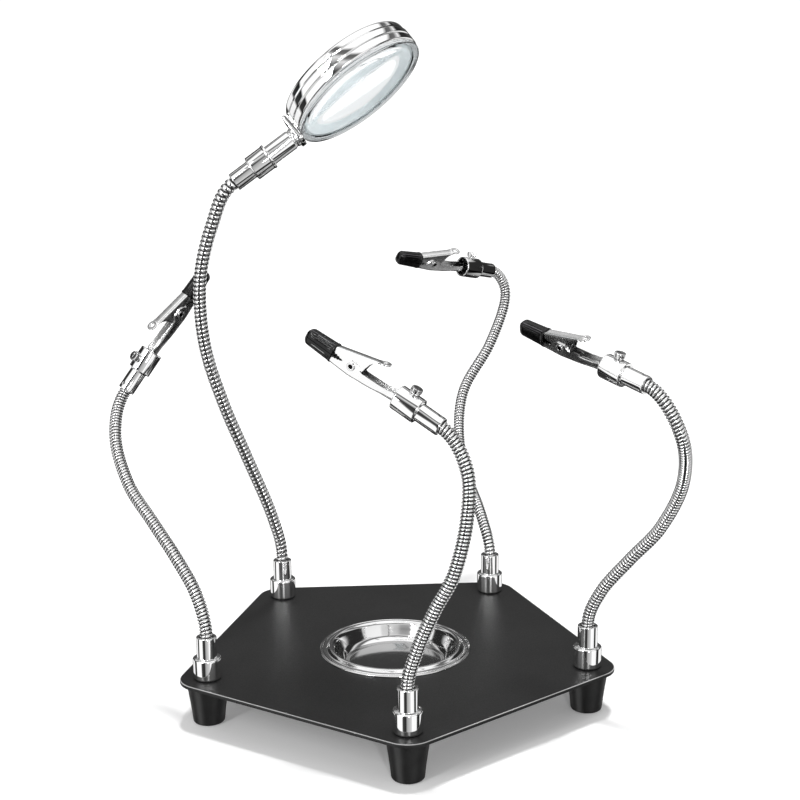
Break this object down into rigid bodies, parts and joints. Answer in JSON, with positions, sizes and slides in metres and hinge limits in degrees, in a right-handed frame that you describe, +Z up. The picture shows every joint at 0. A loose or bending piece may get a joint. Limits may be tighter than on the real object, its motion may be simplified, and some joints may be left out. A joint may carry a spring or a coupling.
{
  "type": "helping hands clamp",
  "caption": "Bench stand with a five-sided footed base, bendable necks that end in swivelling alligator clips and a round magnifier, and a lift-out parts tray.",
  "frame": {"origin": "centre of the five-sided base, on the floor under the middle of the parts tray", "axes": "+Z up; one corner of the base and its neck point to -Y; +X to the right as seen from that corner"},
  "size_m": [0.2968, 0.3338, 0.3571],
  "materials": {
    "base_plate": "black powder coat, satin",
    "foot_rubber": "matt black rubber",
    "zinc_steel": "zinc plated",
    "chrome": "polished chrome",
    "neck_chrome": "spiral-wound chrome",
    "tray_steel": "polished stainless steel",
    "screw_nickel": "bright nickel",
    "jaw_nickel": "bright nickel plate",
    "spring_steel": "spring wire",
    "sleeve_vinyl": "glossy black vinyl",
    "bezel_chrome": "mirror chrome",
    "retainer_metal": "satin",
    "lens_glass": "clear optical glass"
  },
  "bodies": {
    "root": {"base_plate": "base_plate", "rubber_feet": "foot_rubber", "foot_washers": "zinc_steel", "foot_screws": "zinc_steel", "arm_sockets": "chrome", "neck_roots": "neck_chrome"},
    "tray": {"parts_tray": "tray_steel"},
    "neck_low_front": {"neck_mid_front": "neck_chrome"},
    "neck_high_front": {"neck_top_front": "neck_chrome", "clip_holder_front": "chrome"},
    "clip_front": {"lower_jaw_front": "jaw_nickel", "jaw_rivet_front": "screw_nickel", "jaw_spring_front": "spring_steel", "lower_sleeve_front": "sleeve_vinyl"},
    "jaw_front": {"upper_jaw_front": "jaw_nickel", "upper_sleeve_front": "sleeve_vinyl"},
    "screw_front": {"thumbscrew_front": "screw_nickel"},
    "neck_low_right": {"neck_mid_right": "neck_chrome"},
    "neck_high_right": {"neck_top_right": "neck_chrome", "clip_holder_right": "chrome"},
    "clip_right": {"lower_jaw_right": "jaw_nickel", "jaw_rivet_right": "screw_nickel", "jaw_spring_right": "spring_steel", "lower_sleeve_right": "sleeve_vinyl"},
    "jaw_right": {"upper_jaw_right": "jaw_nickel", "upper_sleeve_right": "sleeve_vinyl"},
    "screw_right": {"thumbscrew_right": "screw_nickel"},
    "neck_low_back_right": {"neck_mid_back_right": "neck_chrome"},
    "neck_high_back_right": {"neck_top_back_right": "neck_chrome", "clip_holder_back_right": "chrome"},
    "clip_back_right": {"lower_jaw_back_right": "jaw_nickel", "jaw_rivet_back_right": "screw_nickel", "jaw_spring_back_right": "spring_steel", "lower_sleeve_back_right": "sleeve_vinyl"},
    "jaw_back_right": {"upper_jaw_back_right": "jaw_nickel", "upper_sleeve_back_right": "sleeve_vinyl"},
    "screw_back_right": {"thumbscrew_back_right": "screw_nickel"},
    "neck_low_back_left": {"neck_mid_back_left": "neck_chrome"},
    "neck_high_back_left": {"neck_top_back_left": "neck_chrome", "lens_holder": "chrome"},
    "lens_head": {"lens_stem": "chrome", "lens_bracket": "chrome", "lens_bezel": "bezel_chrome", "lens_retainer": "retainer_metal", "lens": "lens_glass"},
    "neck_low_left": {"neck_mid_left": "neck_chrome"},
    "neck_high_left": {"neck_top_left": "neck_chrome", "clip_holder_left": "chrome"},
    "clip_left": {"lower_jaw_left": "jaw_nickel", "jaw_rivet_left": "screw_nickel", "jaw_spring_left": "spring_steel", "lower_sleeve_left": "sleeve_vinyl"},
    "jaw_left": {"upper_jaw_left": "jaw_nickel", "upper_sleeve_left": "sleeve_vinyl"},
    "screw_left": {"thumbscrew_left": "screw_nickel"}
  },
  "joints": [
    {"name": "tray_lift", "type": "slide", "parent": "root", "child": "tray", "axis": [0, 0, 1], "range_m": [0, 0.03]},
    {"name": "low_bend_front", "type": "hinge", "parent": "root", "child": "neck_low_front", "pos_m": [0.005, -0.106, 0.067], "axis": [1, 0, 0], "range_deg": [-10, 25]},
    {"name": "high_bend_front", "type": "hinge", "parent": "neck_low_front", "child": "neck_high_front", "pos_m": [0.028, -0.108, 0.131], "axis": [0.5547, -0.8321, 0], "range_deg": [-15, 20]},
    {"name": "clip_swivel_front", "type": "hinge", "parent": "neck_high_front", "child": "clip_front", "pos_m": [-0.00289, -0.08597, 0.1856], "axis": [-0.765, 0.424, 0.4848], "range_deg": [-90, 90]},
    {"name": "jaw_open_front", "type": "hinge", "parent": "clip_front", "child": "jaw_front", "pos_m": [-0.02261, -0.07505, 0.19856], "axis": [0.4848, 0.8746, 0], "range_deg": [0, 20], "stiffness_Nm_per_rad": 0.1, "springref_deg": -20.05},
    {"name": "thumbscrew_turn_front", "type": "hinge", "parent": "neck_high_front", "child": "screw_front", "pos_m": [0.00514, -0.09042, 0.18772], "axis": [0.424, -0.235, 0.8746], "range_deg": [0, 360]},
    {"name": "low_bend_right", "type": "hinge", "parent": "root", "child": "neck_low_right", "pos_m": [0.10586, -0.03645, 0.067], "axis": [0.309, 0.9511, 0], "range_deg": [-10, 25]},
    {"name": "high_bend_right", "type": "hinge", "parent": "neck_low_right", "child": "neck_high_right", "pos_m": [0.13886, -0.06945, 0.135], "axis": [0.9995, 0.0322, 0], "range_deg": [-15, 20]},
    {"name": "clip_swivel_right", "type": "hinge", "parent": "neck_high_right", "child": "clip_right", "pos_m": [0.10066, -0.058, 0.19229], "axis": [-0.6617, 0.7096, 0.2419], "range_deg": [-90, 90]},
    {"name": "jaw_open_right", "type": "hinge", "parent": "clip_right", "child": "jaw_right", "pos_m": [0.08341, -0.03971, 0.19895], "axis": [0.7437, 0.5804, 0.3319], "range_deg": [0, 20], "stiffness_Nm_per_rad": 0.1, "springref_deg": -20.05},
    {"name": "thumbscrew_turn_right", "type": "hinge", "parent": "neck_high_right", "child": "screw_right", "pos_m": [0.10633, -0.06408, 0.19671], "axis": [0.165, -0.1769, 0.9703], "range_deg": [0, 360]},
    {"name": "low_bend_back_right", "type": "hinge", "parent": "root", "child": "neck_low_back_right", "pos_m": [0.05772, 0.09995, 0.068], "axis": [-0.809, 0.5878, 0], "range_deg": [-10, 25]},
    {"name": "high_bend_back_right", "type": "hinge", "parent": "neck_low_back_right", "child": "neck_high_back_right", "pos_m": [0.05472, 0.17195, 0.127], "axis": [-0.8682, 0.4961, 0], "range_deg": [-15, 20]},
    {"name": "clip_swivel_back_right", "type": "hinge", "parent": "neck_high_back_right", "child": "clip_back_right", "pos_m": [0.05514, 0.191, 0.20341], "axis": [-0.7913, -0.5749, 0.2079], "range_deg": [-90, 90]},
    {"name": "jaw_open_back_right", "type": "hinge", "parent": "clip_back_right", "child": "jaw_back_right", "pos_m": [0.03474, 0.17593, 0.20915], "axis": [-0.4249, 0.7617, 0.4891], "range_deg": [0, 20], "stiffness_Nm_per_rad": 0.1, "springref_deg": -20.05},
    {"name": "thumbscrew_turn_back_right", "type": "hinge", "parent": "neck_high_back_right", "child": "screw_back_right", "pos_m": [0.06174, 0.19579, 0.20811], "axis": [0.1682, 0.1222, 0.9781], "range_deg": [0, 360]},
    {"name": "low_bend_back_left", "type": "hinge", "parent": "root", "child": "neck_low_back_left", "pos_m": [-0.06672, 0.07495, 0.077], "axis": [-0.809, -0.5878, 0], "range_deg": [-8, 20]},
    {"name": "high_bend_back_left", "type": "hinge", "parent": "neck_low_back_left", "child": "neck_high_back_left", "pos_m": [-0.09872, 0.02195, 0.19], "axis": [-0.9749, 0.2228, 0], "range_deg": [-12, 20]},
    {"name": "lens_swivel", "type": "hinge", "parent": "neck_high_back_left", "child": "lens_head", "pos_m": [-0.06087, -0.01854, 0.29262], "axis": [0.8112, 0.114, 0.5736], "range_deg": [-90, 90]},
    {"name": "low_bend_left", "type": "hinge", "parent": "root", "child": "neck_low_left", "pos_m": [-0.10486, -0.02445, 0.067], "axis": [0.309, -0.9511, 0], "range_deg": [-10, 25]},
    {"name": "high_bend_left", "type": "hinge", "parent": "neck_low_left", "child": "neck_high_left", "pos_m": [-0.14286, 0.02455, 0.114], "axis": [-0.871, -0.4913, 0], "range_deg": [-15, 20]},
    {"name": "clip_swivel_left", "type": "hinge", "parent": "neck_high_left", "child": "clip_left", "pos_m": [-0.13098, 0.06639, 0.17777], "axis": [0.5724, 0.186, 0.7986], "range_deg": [-90, 90]},
    {"name": "jaw_open_left", "type": "hinge", "parent": "clip_left", "child": "jaw_left", "pos_m": [-0.11632, 0.07097, 0.19875], "axis": [0.6011, -0.7577, -0.2543], "range_deg": [0, 20], "stiffness_Nm_per_rad": 0.1, "springref_deg": -20.05},
    {"name": "thumbscrew_turn_left", "type": "hinge", "parent": "neck_high_left", "child": "screw_left", "pos_m": [-0.1385, 0.06114, 0.17561], "axis": [-0.5578, -0.6256, 0.5454], "range_deg": [0, 360]}
  ]
}
